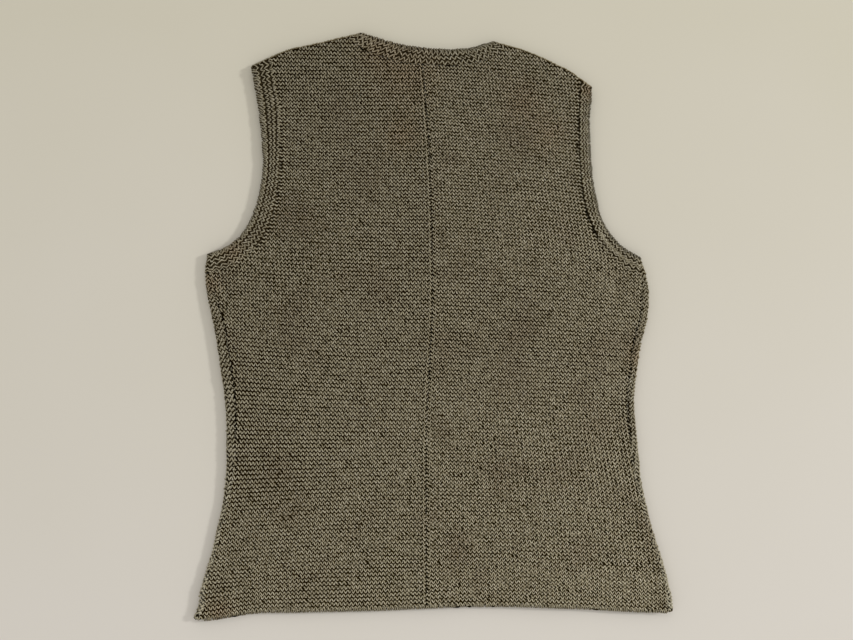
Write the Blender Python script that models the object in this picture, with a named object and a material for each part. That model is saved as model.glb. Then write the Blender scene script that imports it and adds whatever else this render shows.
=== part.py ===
"""Sleeveless garter-knit vest, laid out flat on its front with the back uppermost.

The vest is sewn from a left and a right back, joined down the middle, and one front whose sides roll
up and over to the side seams. Armhole bands and a neck band are knitted on in two halves each, which
meet at the shoulder and side seams.

Frame: +X to the right as seen from above, +Y towards the neck, +Z up. The origin lies on the surface
that the vest rests on, under the middle of its outline. Tables are in millimetres, and measured from
a point on the middle seam that lies a little off that origin.
"""

import math

import bmesh
import bpy
import numpy as np

MM = 0.001

# Driving dimensions, in metres
WALL = 0.0032  # one layer of garter knit
GAP = 0.0003  # between two pieces at a seam, and between the two layers
BEND = (WALL / 2) / (math.pi / 2 - 1)  # middle radius of a roll that neither adds nor takes length
QUARTER = BEND * math.pi / 2  # cloth used by a quarter of that roll
ROLL_HEIGHT = 2 * BEND + WALL  # height over the rolled sides and shoulders
BACK_HEIGHT = 1.5 * WALL + GAP  # middle of the back where it lies flat on the front
SEAM_GAP = 0.0005  # between the layers' edges at the shoulder seam, on the roll
REST_LIFT = 0.0004  # the back's least lift off the front
EASE = 0.016  # the roll's height fades into the flat cloth over this width
MIDDLE_RIDGE = 0.0016  # height of the ridge over the middle seam
MIDDLE_LEFT = 0.008  # reach of that ridge to the left of the seam
MIDDLE_RIGHT = 0.024  # reach of that ridge to the right of the seam
FRONT_INSET = 0.0018  # the front's free edges lie this far inside the back's
UNDERARM = 0.0500  # height in Y of the line where the armhole bands begin
FRONT_NECK_DROP = 0.088  # depth of the front neck below the back's shoulder points
FRONT_NECK_ROUNDNESS = 2.3  # 2 is a parabola, more is squarer
NECK_BAND = 0.0165  # width of the front neck band
CENTRE = (0.0006, 0.0004)  # middle of the outline, in the tables' own X and Y

SIDE_COLUMNS = ("y", "left", "right", "seam_left", "seam_right")
SIDES = (
    (-314.0, -250.0, 251.0, 4.9, 4.9),
    (-304.0, -244.5, 250.4, 4.9, 4.9),
    (-283.0, -242.3, 248.3, 4.9, 4.9),
    (-262.0, -236.7, 243.9, 4.9, 4.9),
    (-242.0, -231.0, 238.2, 4.9, 4.9),
    (-222.0, -227.2, 231.8, 4.9, 4.9),
    (-201.0, -222.3, 227.0, 5.2, 5.1),
    (-170.0, -218.7, 221.0, 8.4, 6.8),
    (-128.0, -218.4, 217.5, 10.4, 8.8),
    (-86.0, -220.7, 214.9, 11.4, 8.0),
    (-55.0, -225.7, 218.3, 12.6, 8.2),
    (-27.0, -230.1, 223.0, 11.9, 9.0),
    (0.0, -235.7, 230.2, 12.2, 9.0),
    (21.0, -240.3, 232.4, 8.8, 8.7),
    (37.0, -243.3, 232.2, 7.2, 7.8),
    (50.0, -244.1, 229.2, 7.2, 6.6),
    (68.0, -242.5, 223.0, 6.2, 5.4),
    (76.0, -241.5, 220.0, 6.2, 5.4),
)

HEM_COLUMNS = ("x", "y")
HEM = (
    (-250.0, -314.0),
    (-231.0, -313.5),
    (-211.0, -310.5),
    (-190.0, -307.0),
    (-138.0, -305.4),
    (-86.0, -304.4),
    (-34.0, -302.8),
    (-2.0, -301.0),
    (98.0, -300.0),
    (156.0, -302.0),
    (216.0, -304.9),
    (251.0, -306.0),
)

MIDDLE_COLUMNS = ("y", "x")
MIDDLE = (
    (-302.0, -5.6),
    (-86.0, -4.5),
    (21.0, 0.9),
    (119.0, -0.2),
    (240.0, -6.6),
    (279.0, -9.9),
)

SHOULDER_COLUMNS = ("x", "y")
SHOULDER_LEFT = (
    (-197.2, 277.3),
    (-188.5, 282.3),
    (-166.7, 292.6),
    (-155.8, 297.0),
    (-133.9, 302.1),
    (-112.0, 307.2),
    (-96.0, 311.2),
    (-80.2, 314.5),
)
SHOULDER_RIGHT = (
    (69.1, 304.9),
    (80.0, 302.4),
    (107.4, 293.4),
    (123.7, 286.0),
    (140.1, 277.9),
    (151.0, 272.0),
    (161.8, 263.8),
    (169.3, 258.0),
    (173.0, 254.9),
)

# Bands, from the shoulder down or from left to right: edge_x, edge_y, inner_x, inner_y
ARMHOLE_LEFT = (
    (-197.2, 277.3, -176.5, 288.2),
    (-193.6, 257.1, -171.7, 257.1),
    (-189.4, 234.8, -167.6, 234.8),
    (-186.4, 212.5, -165.7, 212.5),
    (-183.9, 190.3, -164.3, 190.3),
    (-182.8, 171.5, -164.0, 168.2),
    (-184.0, 151.6, -164.8, 148.3),
    (-187.3, 133.0, -167.8, 127.5),
    (-194.6, 110.0, -174.5, 101.2),
    (-206.1, 90.8, -187.5, 79.4),
    (-219.9, 79.0, -205.0, 64.8),
    (-229.5, 74.3, -222.0, 55.4),
    (-236.9, 71.8, -236.9, 50.3),
)
ARMHOLE_RIGHT = (
    (173.0, 254.9, 161.8, 263.8),
    (173.2, 242.6, 160.4, 242.6),
    (170.8, 218.0, 159.5, 218.0),
    (171.2, 195.8, 159.2, 195.8),
    (172.0, 173.7, 159.5, 173.7),
    (173.8, 151.6, 160.8, 151.6),
    (177.3, 129.7, 163.2, 129.7),
    (182.8, 107.8, 169.4, 108.0),
    (192.9, 91.0, 180.0, 85.0),
    (205.5, 77.5, 194.0, 68.5),
    (214.5, 71.2, 208.5, 57.0),
    (222.0, 67.4, 222.4, 50.3),
)
NECK_BACK = (
    (-80.2, 314.5, -96.0, 311.2),
    (-65.9, 311.1, -82.3, 300.9),
    (-46.2, 305.4, -59.3, 290.2),
    (-24.2, 300.4, -31.8, 282.4),
    (-2.3, 297.2, -2.3, 278.9),
    (19.7, 296.4, 25.1, 278.6),
    (41.6, 298.1, 52.5, 283.0),
    (58.1, 301.8, 71.5, 291.6),
    (69.1, 304.9, 85.0, 300.9),
)

# Soft folds of the back, each a ridge along a short line: x0, y0, x1, y1, reach to a side, height
FOLDS = (
    (-89.0, 252.0, 24.0, 196.0, 17.0, 2.4),
    (-143.0, 92.0, -141.0, -13.0, 46.0, 1.9),
    (-168.0, -140.0, -172.0, -262.0, 30.0, 2.2),
    (106.0, 152.0, 136.0, 36.0, 27.0, 1.7),
    (112.0, -112.0, 116.0, -286.0, 42.0, 1.7),
    (208.0, -305.0, 200.0, -262.0, 20.0, 1.4),
    (60.0, 40.0, 150.0, -34.0, 18.0, 0.9),
)

# Ridges along a band: from and to, as parts of its width from its free edge, and height
WIDE_RIDGES = ((0.0, 0.43, 0.9), (0.43, 0.84, 0.8))
NARROW_RIDGES = ((0.0, 0.46, 0.8), (0.46, 0.94, 0.9))
NECK_RIDGES = ((0.0, 0.42, 0.9), (0.42, 0.76, 0.7))
RIDGED_STEPS = (0.0, 0.1, 0.22, 0.34, 0.43, 0.53, 0.64, 0.75, 0.86, 1.0)
PLAIN_STEPS = (0.0, 0.34, 0.67, 1.0)

# Grid sizes
HALF_COLUMNS = (0.0, 0.03, 0.07, 0.15, 0.25, 0.34, 0.42, 0.442, 0.46, 0.6, 0.74, 0.88, 1.0)
NECK_CORNER = 8  # the column that ends where the neck band meets the shoulder
BODY_ROWS = 20  # rows from the hem to the underarm
YOKE_ROWS = (0.0, 0.05, 0.11, 0.18, 0.26, 0.34, 0.42, 0.5, 0.58, 0.66, 0.74, 0.81, 0.87, 0.92,
             0.955, 0.98, 0.9915, 1.0)
ARMHOLE_ROLLED = tuple(row > 0.94 for row in YOKE_ROWS[1:])  # stretches that end on the shoulder roll
NECK_ROLLED = (True, True) + (False,) * (2 * NECK_CORNER - 4) + (True, True)
ROLL_STEPS = (1.0, 0.66, 0.33, 0.0, -0.33, -0.66, -1.0)  # quarters of the roll, from below to above

KNIT_COLOUR = (0.117, 0.1, 0.065, 1.0)
KNIT_ROUGHNESS = 0.95
LEFT, RIGHT = -1, 1


def column(table, names, name):
    """One named column of a table, in metres."""
    return np.array([row[names.index(name)] for row in table]) * MM


def smooth(t):
    t = np.clip(t, 0.0, 1.0)
    return t * t * (3 - 2 * t)


def curve(knots, values, at):
    """Smooth curve through the knots, with slopes taken from their neighbours."""
    slopes = np.gradient(values, knots, axis=0)
    at = np.clip(np.asarray(at, dtype=float), knots[0], knots[-1])
    i = np.clip(np.searchsorted(knots, at, side="right") - 1, 0, len(knots) - 2)
    step = knots[i + 1] - knots[i]
    t = (at - knots[i]) / step
    if values.ndim == 2:
        step = step[..., None]
        t = t[..., None]
    start = (1 + 2 * t) * (1 - t) ** 2 * values[i] + t * (1 - t) ** 2 * step * slopes[i]
    end = t * t * (3 - 2 * t) * values[i + 1] - t * t * (1 - t) * step * slopes[i + 1]
    return start + end


def along(points, at):
    """Smooth curve through points, read at parts of its length."""
    points = np.asarray(points, dtype=float)
    length = np.concatenate(([0.0], np.cumsum(np.linalg.norm(np.diff(points[:, :2], axis=0), axis=1))))
    return curve(length / length[-1], points, at)


# Outline

def side_x(side, y):
    """The outermost line of the rolled side."""
    name = "left" if side == LEFT else "right"
    return curve(column(SIDES, SIDE_COLUMNS, "y"), column(SIDES, SIDE_COLUMNS, name), y)


def seam_inset(side, y):
    """How far the side seam lies inside the outline."""
    name = "seam_left" if side == LEFT else "seam_right"
    return curve(column(SIDES, SIDE_COLUMNS, "y"), column(SIDES, SIDE_COLUMNS, name), y)


def seam_x(side, y):
    return side_x(side, y) - side * seam_inset(side, y)


def middle_x(y):
    return curve(column(MIDDLE, MIDDLE_COLUMNS, "y"), column(MIDDLE, MIDDLE_COLUMNS, "x"), y)


def hem_y(x):
    return curve(column(HEM, HEM_COLUMNS, "x"), column(HEM, HEM_COLUMNS, "y"), x)


def shoulder_y(x):
    """Height in Y of the shoulder line, carried straight on past the neck points."""
    x = np.asarray(x, dtype=float)
    lx, ly = (column(SHOULDER_LEFT, SHOULDER_COLUMNS, n) for n in ("x", "y"))
    rx, ry = (column(SHOULDER_RIGHT, SHOULDER_COLUMNS, n) for n in ("x", "y"))
    left = curve(lx, ly, x) + 0.3 * np.maximum(0.0, x - lx[-1])
    right = curve(rx, ry, x) + 0.3 * np.maximum(0.0, rx[0] - x)
    return np.where(x < (lx[-1] + rx[0]) / 2, left, right)


# Height of the cloth

def distance_to_line(x, y, x0, y0, x1, y1):
    t = ((x - x0) * (x1 - x0) + (y - y0) * (y1 - y0)) / ((x1 - x0) ** 2 + (y1 - y0) ** 2)
    t = np.clip(t, 0.0, 1.0)
    return np.hypot(x - x0 - t * (x1 - x0), y - y0 - t * (y1 - y0))


def soft_folds(x, y):
    """Lift of the back over the front."""
    lift = REST_LIFT + np.zeros(np.shape(x))
    for x0, y0, x1, y1, reach, height in np.array(FOLDS) * MM:
        lift = lift + height * np.exp(-(distance_to_line(x, y, x0, y0, x1, y1) / reach) ** 2)
    off = x - middle_x(y)
    reach = np.where(off < 0, MIDDLE_LEFT, MIDDLE_RIGHT)
    return lift + MIDDLE_RIDGE * np.exp(-(off / reach) ** 2)


def side_distance(side, x, y):
    """Distance inside the rolled side, and from its top end where the armhole is open."""
    tip = UNDERARM + 0.018
    return np.hypot(side * (side_x(side, np.minimum(y, tip)) - x), np.maximum(0.0, y - tip))


def back_height(x, y):
    """Height of the back's middle: flat cloth with its folds, rising to meet the rolls."""
    flat = smooth((shoulder_y(x) - y - QUARTER) / EASE)
    for side in (LEFT, RIGHT):
        flat = flat * smooth((side_distance(side, x, y) - QUARTER) / EASE)
    roll = ROLL_HEIGHT / 2 + BEND - BACK_HEIGHT
    return BACK_HEIGHT + flat * soft_folds(x, y) + (1 - flat) * roll


def roll(q):
    """Inset and height of the cloth's middle at a length q of cloth from mid-height, up or down."""
    turn = np.clip(q / BEND, -math.pi / 2, math.pi / 2)
    inset = WALL / 2 + BEND * (1 - np.cos(turn)) + np.maximum(0.0, np.abs(q) - QUARTER)
    return inset, ROLL_HEIGHT / 2 + BEND * np.sin(turn)


def place_back(x, y):
    """Middle of the upper layer. It rolls down to the shoulder seams."""
    line = shoulder_y(x)
    inset, height = roll(np.maximum(line - y, 0.0))
    on_roll = line - y < QUARTER
    return np.stack((x, line - inset, np.where(on_roll, height, back_height(x, line - inset))), -1)


def place_front(x, y):
    """Middle of the lower layer. It rolls up to the shoulders, and over each side to its seam."""
    line = shoulder_y(x)
    inset, z = roll(-np.maximum(line - y, 0.0))
    y = line - inset
    for side in (LEFT, RIGHT):
        edge = side_x(side, y)
        inside = side * (edge - x)
        inset, height = roll(-inside)
        near = (inside < QUARTER) & (y < UNDERARM + 0.03)
        moved = np.where(near, edge - side * inset, x)
        over = np.where(inside < -QUARTER, back_height(moved, y), height)
        z = np.where(near, over, z)
        x = moved
    return np.stack((x, y, z), -1)


def outward(place, x, y, sign):
    """Unit normals of a layer, pointing out of the garment."""
    e = 0.05 * MM
    across = place(x + e, y) - place(x - e, y)
    up = place(x, y + e) - place(x, y - e)
    normal = sign * np.cross(across, up)
    return normal / np.linalg.norm(normal, axis=-1, keepdims=True)


# Solids

def knit_material(name):
    material = bpy.data.materials.new(name)
    material.use_nodes = True
    shader = material.node_tree.nodes["Principled BSDF"]
    shader.inputs["Base Color"].default_value = KNIT_COLOUR
    shader.inputs["Roughness"].default_value = KNIT_ROUGHNESS
    shader.inputs["Metallic"].default_value = 0.0
    return material


def add_wall(name, grid, place, sign, relief=None, cells=None):
    """Closed wall over a grid of cloth points: each is moved out and in by half the thickness.

    relief adds to the outer points. cells marks the grid squares that are cloth.
    """
    rows, cols = grid.shape[:2]
    if relief is None:
        relief = np.zeros((rows, cols))
    if cells is None:
        cells = np.ones((rows - 1, cols - 1), dtype=bool)
    middle = place(grid[..., 0], grid[..., 1])
    middle = middle - np.array(CENTRE + (0.0,))
    normal = outward(place, grid[..., 0], grid[..., 1], sign)
    outer = middle + normal * (WALL / 2 + relief)[..., None]
    inner = middle - normal * (WALL / 2)

    shape = bmesh.new()
    corners = {}

    def corner(i, j, layer):
        if (i, j, layer) not in corners:
            corners[i, j, layer] = shape.verts.new((outer, inner)[layer][i, j])
        return corners[i, j, layer]

    edges = set()
    squares = [(i, j) for i in range(rows - 1) for j in range(cols - 1) if cells[i, j]]
    for i, j in squares:
        ring = [(i, j), (i, j + 1), (i + 1, j + 1), (i + 1, j)]
        shape.faces.new([corner(a, b, 0) for a, b in ring])
        shape.faces.new([corner(a, b, 1) for a, b in reversed(ring)])
        edges.update(zip(ring, ring[1:] + ring[:1]))
    for start, end in sorted(edges):
        if (end, start) not in edges:
            shape.faces.new([corner(*end, 0), corner(*start, 0), corner(*start, 1), corner(*end, 1)])
    bmesh.ops.triangulate(shape, faces=shape.faces[:])
    if shape.calc_volume(signed=True) < 0:
        bmesh.ops.reverse_faces(shape, faces=shape.faces[:])

    mesh = bpy.data.meshes.new(name)
    shape.to_mesh(mesh)
    shape.free()
    mesh.shade_smooth()
    mesh.materials.append(knit_material(name))
    part = bpy.data.objects.new(name, mesh)
    bpy.context.scene.collection.objects.link(part)
    return part


# Seams

def offset_line(points, distance):
    """A line moved to its right."""
    run = np.gradient(points, axis=0)
    across = np.stack((run[:, 1], -run[:, 0]), -1)
    return points + distance * across / np.linalg.norm(across, axis=1, keepdims=True)


def refined(line, rolled):
    """The same straight runs, with a point in the middle of each that isn't on a roll."""
    points = [line[0]]
    for start, end, on_roll in zip(line, line[1:], rolled):
        if not on_roll:
            points.append((start + end) / 2)
        points.append(end)
    return np.array(points)


def onto_shoulder(points, before):
    """Points slid along their lines, which come from before, onto the layer's edge at the shoulder."""
    run = points - before
    for _ in range(6):
        x = points[..., 0]
        miss = shoulder_y(x) - SEAM_GAP / 2 - points[..., 1]
        slope = (shoulder_y(x + MM) - shoulder_y(x - MM)) / (2 * MM)
        points = points + run * (miss / (run[..., 1] - slope * run[..., 0]))[..., None]
    return points


def armhole_table(side, front):
    """Free edge and seam of an armhole band, from the underarm up to the shoulder."""
    table = np.array(ARMHOLE_LEFT if side == LEFT else ARMHOLE_RIGHT)[::-1] * MM
    if front:
        table[:, [0, 2]] -= side * FRONT_INSET
        start = side_x(side, UNDERARM) - side * QUARTER
        table[0] = (start, table[0, 1] - 1.2 * MM, start, UNDERARM)
    return table


def armhole_rails(side, front):
    """Free edge and seam of an armhole band at the yoke's rows."""
    table = armhole_table(side, front)
    at = np.array(YOKE_ROWS)
    return along(table, refined(at, ARMHOLE_ROLLED))[:, :2], along(table, at)[:, 2:]


def neck_parts(side):
    """Places along the neck of the columns from the middle out to the shoulder."""
    part = np.array(HALF_COLUMNS[: NECK_CORNER + 1]) / HALF_COLUMNS[NECK_CORNER]
    return 0.5 + side * 0.5 * part


def back_neck(at):
    """Free edge and seam of the back neck band, with the middle seam halfway along."""
    table = np.array(NECK_BACK) * MM
    fine = np.linspace(0.0, 1.0, 201)
    seam = along(table, fine)[:, 2:]
    middle = fine[np.argmin(np.abs(seam[:, 0] - middle_x(seam[:, 1])))]
    return along(table, np.interp(at, (0.0, 0.5, 1.0), (0.0, middle, 1.0)))


def front_neck(at):
    """Free edge and seam of the front neck band: a scoop between the shoulder points."""
    part = np.asarray(at)[:, None]
    ends = np.array((NECK_BACK[0], NECK_BACK[-1])) * MM
    lines = []
    for edge, width in ((0, 0.0), (2, NECK_BAND)):
        left, right = ends[0, edge: edge + 2], ends[1, edge: edge + 2]
        drop = (FRONT_NECK_DROP + width) * (1 - np.abs(2 * part - 1) ** FRONT_NECK_ROUNDNESS)
        lines.append(left * (1 - part) + right * part - drop * np.array((0.0, 1.0)))
    return np.hstack(lines)


# Panels

def body_grid(outer, hem_inset, first=0.0):
    """Rows from the hem to the underarm line, columns from the middle out to outer(y)."""
    u = np.array(HALF_COLUMNS)[None, :]
    v = np.linspace(0.0, 1.0, BODY_ROWS + 1)[:, None]
    y = -0.3 + v * (UNDERARM + 0.3) + 0 * u
    for _ in range(6):
        x = (middle_x(y) + first) * (1 - u) + outer(y) * u
        y = (hem_y(x) + hem_inset) * (1 - v) + UNDERARM * v
    return np.stack((x, y), -1)


def yoke_grid(start, centre, seam, neck):
    """Rows from the underarm line to the neck and shoulder, stretched between four boundary lines."""
    u = np.array(HALF_COLUMNS)
    v = np.array(YOKE_ROWS)
    corner = u[NECK_CORNER]
    run = (u[NECK_CORNER + 1:] - corner) / (1 - corner)
    x = neck[-1, 0] + (seam[-1, 0] - neck[-1, 0]) * run
    top = np.concatenate((neck, np.stack((x, shoulder_y(x) - SEAM_GAP / 2), -1)))
    left, right = centre.copy(), seam.copy()
    right[0] = start[-1]
    left[-1], right[-1] = top[0], top[-1]
    a, b = u[None, :, None], v[:, None, None]
    ruled = (1 - b) * start[None] + b * top[None] + (1 - a) * left[:, None] + a * right[:, None]
    corners = (1 - a) * (1 - b) * start[0] + a * (1 - b) * start[-1] + (1 - a) * b * top[0] + a * b * top[-1]
    return ruled - corners


def neck_line(side, neck):
    """Panel edge beside a neck band, from the middle out to the shoulder."""
    line = neck(neck_parts(side))[:, 2:]
    line = offset_line(line, side * GAP / 2)
    line[-1] = onto_shoulder(line[-1], line[-2])
    return line


def add_back(name, side):
    body = body_grid(lambda y: seam_x(side, y) - side * GAP / 2, 0.0, side * GAP / 2)
    neck = neck_line(side, back_neck)
    neck[0, 0] = middle_x(neck[0, 1]) + side * GAP / 2
    height = body[-1, 0, 1] + (neck[0, 1] - body[-1, 0, 1]) * np.array(YOKE_ROWS)
    centre = np.stack((middle_x(height) + side * GAP / 2, height), -1)
    seam = offset_line(armhole_rails(side, False)[1], -side * GAP / 2)
    seam[-1] = onto_shoulder(seam[-1], seam[-2])
    yoke = yoke_grid(body[-1], centre, seam, neck)
    grid = np.concatenate((body, yoke[1:]))
    if side == LEFT:
        grid = grid[:, ::-1]
    add_wall(name, grid, place_back, 1)


def front_half(side):
    """One half of the front, from its middle out to where the cloth starts to roll or to its band."""
    body = body_grid(lambda y: side_x(side, y) - side * QUARTER, FRONT_INSET)
    neck = neck_line(side, front_neck)
    part = np.array(YOKE_ROWS)[:, None]
    centre = body[-1, 0] * (1 - part) + neck[0] * part
    seam = offset_line(armhole_rails(side, True)[1], -side * GAP / 2)
    seam[-1] = onto_shoulder(seam[-1], seam[-2])
    return body, yoke_grid(body[-1], centre, seam, neck)[1:]


def wrap_columns(side, body):
    """Columns of the front that go round the rolled side and on to the side seam."""
    flat_y = body[:, -1, 1]
    v = np.linspace(0.0, 1.0, BODY_ROWS + 1)
    seam_y = hem_y(side_x(side, flat_y)) * (1 - v) + UNDERARM * v
    columns = []
    for step in ROLL_STEPS[1:] + (None,):
        part = 1.0 if step is None else (1 - step) / 2
        y = flat_y * (1 - part) + seam_y * part
        past = seam_inset(side, y) - GAP / 2 if step is None else -step * QUARTER
        columns.append(np.stack((side_x(side, y) + side * past, y), -1))
    return np.stack(columns, 1)


def add_front(name):
    halves = {side: front_half(side) for side in (LEFT, RIGHT)}
    wraps = {side: wrap_columns(side, halves[side][0]) for side in (LEFT, RIGHT)}
    body = np.concatenate((wraps[LEFT][:, ::-1], halves[LEFT][0][:, ::-1], halves[RIGHT][0][:, 1:],
                           wraps[RIGHT]), axis=1)
    wide = wraps[LEFT].shape[1]
    yoke = np.zeros((len(halves[LEFT][1]), body.shape[1], 2))
    yoke[:, wide:-wide] = np.concatenate((halves[LEFT][1][:, ::-1], halves[RIGHT][1][:, 1:]), axis=1)
    cells = np.ones((len(body) + len(yoke) - 1, body.shape[1] - 1), dtype=bool)
    cells[len(body) - 1:, :wide] = False
    cells[len(body) - 1:, -wide:] = False
    add_wall(name, np.concatenate((body, yoke)), place_front, -1, cells=cells)


# Bands

def ridge_relief(part, ridges):
    height = np.zeros(np.shape(part))
    for start, end, top in ridges:
        t = np.clip((part - start) / (end - start), 0.0, 1.0)
        height = np.maximum(height, top * MM * np.sin(t * math.pi) ** 0.8)
    return height


def add_band(name, edge, inner, layer, steps, ridges=(), flip=False):
    """A band's wall between its free edge and its seam, with ridges along its outer face."""
    part = np.array(steps)[None, :, None]
    grid = edge[:, None] * (1 - part) + inner[:, None] * part
    for end, before in layer["on_shoulder"]:
        grid[end] = onto_shoulder(grid[end], grid[before])
    relief = np.zeros(grid.shape[:2]) + ridge_relief(np.array(steps), ridges)[None, :]
    if flip:
        grid, relief = grid[:, ::-1], relief[:, ::-1]
    add_wall(name, grid, layer["place"], layer["sign"], relief)


def add_back_armhole_band(name, side, ridges):
    edge, seam = armhole_rails(side, False)
    inner = refined(offset_line(seam, side * GAP / 2), ARMHOLE_ROLLED)
    inner[0, 1] = UNDERARM + GAP
    edge[0, 0] = seam_x(side, edge[0, 1]) - side * GAP / 2
    inner[0, 0] = seam_x(side, inner[0, 1]) - side * GAP / 2
    layer = {"place": place_back, "sign": 1, "on_shoulder": ((-1, -2),)}
    add_band(name, edge, inner, layer, RIDGED_STEPS, ridges, flip=side == LEFT)


def band_tail(side, tip_y):
    """Stations of a front armhole band that go round the rolled side, from the side seam."""
    rows = []
    for step in (None,) + ROLL_STEPS[:0:-1]:
        both = []
        for y in (tip_y, UNDERARM + GAP):
            past = seam_inset(side, y) - GAP / 2 if step is None else -step * QUARTER
            both += [side_x(side, y) + side * past, y]
        rows.append(both)
    rows = np.array(rows)
    dip = np.array((0.0,) + tuple(math.cos(step * math.pi / 3) for step in ROLL_STEPS[:0:-1]))
    rows[:, 1] -= 1.8 * MM * dip
    return rows


def add_front_armhole_band(name, side):
    edge, seam = armhole_rails(side, True)
    inner = refined(offset_line(seam, side * GAP / 2), ARMHOLE_ROLLED)
    inner[0, 1] = UNDERARM + GAP
    tail = band_tail(side, armhole_table(side, False)[0, 1])
    edge = np.vstack((tail[:, :2], edge))
    inner = np.vstack((tail[:, 2:], inner))
    layer = {"place": place_front, "sign": -1, "on_shoulder": ((-1, -2),)}
    add_band(name, edge, inner, layer, PLAIN_STEPS, flip=side == LEFT)


def add_neck_band(name, neck, layer, steps, ridges=()):
    at = np.concatenate((neck_parts(LEFT)[::-1], neck_parts(RIGHT)[1:]))
    inner = refined(offset_line(neck(at)[:, 2:], -GAP / 2), NECK_ROLLED)
    edge = neck(refined(at, NECK_ROLLED))[:, :2]
    add_band(name, edge, inner, layer, steps, ridges)


def add_back_neck_band(name):
    layer = {"place": place_back, "sign": 1, "on_shoulder": ((0, 1), (-1, -2))}
    add_neck_band(name, back_neck, layer, RIDGED_STEPS, NECK_RIDGES)


def add_front_neck_band(name):
    layer = {"place": place_front, "sign": -1, "on_shoulder": ((0, 1), (-1, -2))}
    add_neck_band(name, front_neck, layer, PLAIN_STEPS)


def clear_scene():
    for item in list(bpy.data.objects):
        bpy.data.objects.remove(item, do_unlink=True)


def main():
    clear_scene()
    add_back("back_left", LEFT)
    add_back("back_right", RIGHT)
    add_front("front")
    add_back_armhole_band("armhole_band_back_left", LEFT, WIDE_RIDGES)
    add_back_armhole_band("armhole_band_back_right", RIGHT, NARROW_RIDGES)
    add_front_armhole_band("armhole_band_front_left", LEFT)
    add_front_armhole_band("armhole_band_front_right", RIGHT)
    add_back_neck_band("neck_band_back")
    add_front_neck_band("neck_band_front")


main()
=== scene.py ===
"""Yarn, finish, floor, light and camera of the garter-knit vest that lies flat on its front.

The yarn follows the same maps from flat cloth to its place as the part's solids, so the first sections
repeat the part's sizes and formulas. Frame: +X to the right, +Y towards the neck, +Z up, in metres.
Tables are in millimetres.
"""

import math

import bmesh
import bpy
import numpy as np
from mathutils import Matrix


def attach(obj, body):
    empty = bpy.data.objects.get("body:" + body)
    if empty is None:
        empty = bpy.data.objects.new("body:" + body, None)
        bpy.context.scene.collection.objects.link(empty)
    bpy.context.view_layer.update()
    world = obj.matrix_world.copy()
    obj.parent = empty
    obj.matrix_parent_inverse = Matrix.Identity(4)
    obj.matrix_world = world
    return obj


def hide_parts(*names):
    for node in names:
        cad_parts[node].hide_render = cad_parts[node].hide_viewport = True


MM = 0.001

# Driving dimensions, in metres
WALL = 0.0032  # one layer of garter knit
GAP = 0.0003  # between two pieces at a seam, and between the two layers
BEND = (WALL / 2) / (math.pi / 2 - 1)  # middle radius of a roll that neither adds nor takes length
QUARTER = BEND * math.pi / 2  # cloth used by a quarter of that roll
ROLL_HEIGHT = 2 * BEND + WALL  # height over the rolled sides and shoulders
BACK_HEIGHT = 1.5 * WALL + GAP  # middle of the back where it lies flat on the front
REST_LIFT = 0.0004  # the back's least lift off the front
EASE = 0.016  # the roll's height fades into the flat cloth over this width
MIDDLE_RIDGE = 0.0016  # height of the ridge over the middle seam
MIDDLE_LEFT = 0.008  # reach of that ridge to the left of the seam
MIDDLE_RIGHT = 0.024  # reach of that ridge to the right of the seam
FRONT_INSET = 0.0018  # the front's free edges lie this far inside the back's
UNDERARM = 0.0500  # height in Y of the line where the armhole bands begin
SIDE_TIP = 0.018  # the rolled side ends this far above that line
SIDE_TOP = 0.03  # and the front's map rolls over it up to this far above
PAST_NECK_SLOPE = 0.3  # of the shoulder line where it is carried on past the neck points
TAIL_DROP = 0.0012  # a front armhole band's free edge is this much lower where it meets the roll
TAIL_DIP = 0.0018  # and up to this much lower round the roll
FRONT_NECK_DROP = 0.088  # depth of the front neck below the back's shoulder points
FRONT_NECK_ROUNDNESS = 2.3  # 2 is a parabola, more is squarer
NECK_BAND = 0.0165  # width of the front neck band
CENTRE = (0.0006, 0.0004)  # middle of the outline, in the tables' own X and Y

SIDE_COLUMNS = ("y", "left", "right", "seam_left", "seam_right")
SIDES = (
    (-314.0, -250.0, 251.0, 4.9, 4.9),
    (-304.0, -244.5, 250.4, 4.9, 4.9),
    (-283.0, -242.3, 248.3, 4.9, 4.9),
    (-262.0, -236.7, 243.9, 4.9, 4.9),
    (-242.0, -231.0, 238.2, 4.9, 4.9),
    (-222.0, -227.2, 231.8, 4.9, 4.9),
    (-201.0, -222.3, 227.0, 5.2, 5.1),
    (-170.0, -218.7, 221.0, 8.4, 6.8),
    (-128.0, -218.4, 217.5, 10.4, 8.8),
    (-86.0, -220.7, 214.9, 11.4, 8.0),
    (-55.0, -225.7, 218.3, 12.6, 8.2),
    (-27.0, -230.1, 223.0, 11.9, 9.0),
    (0.0, -235.7, 230.2, 12.2, 9.0),
    (21.0, -240.3, 232.4, 8.8, 8.7),
    (37.0, -243.3, 232.2, 7.2, 7.8),
    (50.0, -244.1, 229.2, 7.2, 6.6),
    (68.0, -242.5, 223.0, 6.2, 5.4),
    (76.0, -241.5, 220.0, 6.2, 5.4),
)

HEM_COLUMNS = ("x", "y")
HEM = (
    (-250.0, -314.0),
    (-231.0, -313.5),
    (-211.0, -310.5),
    (-190.0, -307.0),
    (-138.0, -305.4),
    (-86.0, -304.4),
    (-34.0, -302.8),
    (-2.0, -301.0),
    (98.0, -300.0),
    (156.0, -302.0),
    (216.0, -304.9),
    (251.0, -306.0),
)

MIDDLE_COLUMNS = ("y", "x")
MIDDLE = (
    (-302.0, -5.6),
    (-86.0, -4.5),
    (21.0, 0.9),
    (119.0, -0.2),
    (240.0, -6.6),
    (279.0, -9.9),
)

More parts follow.
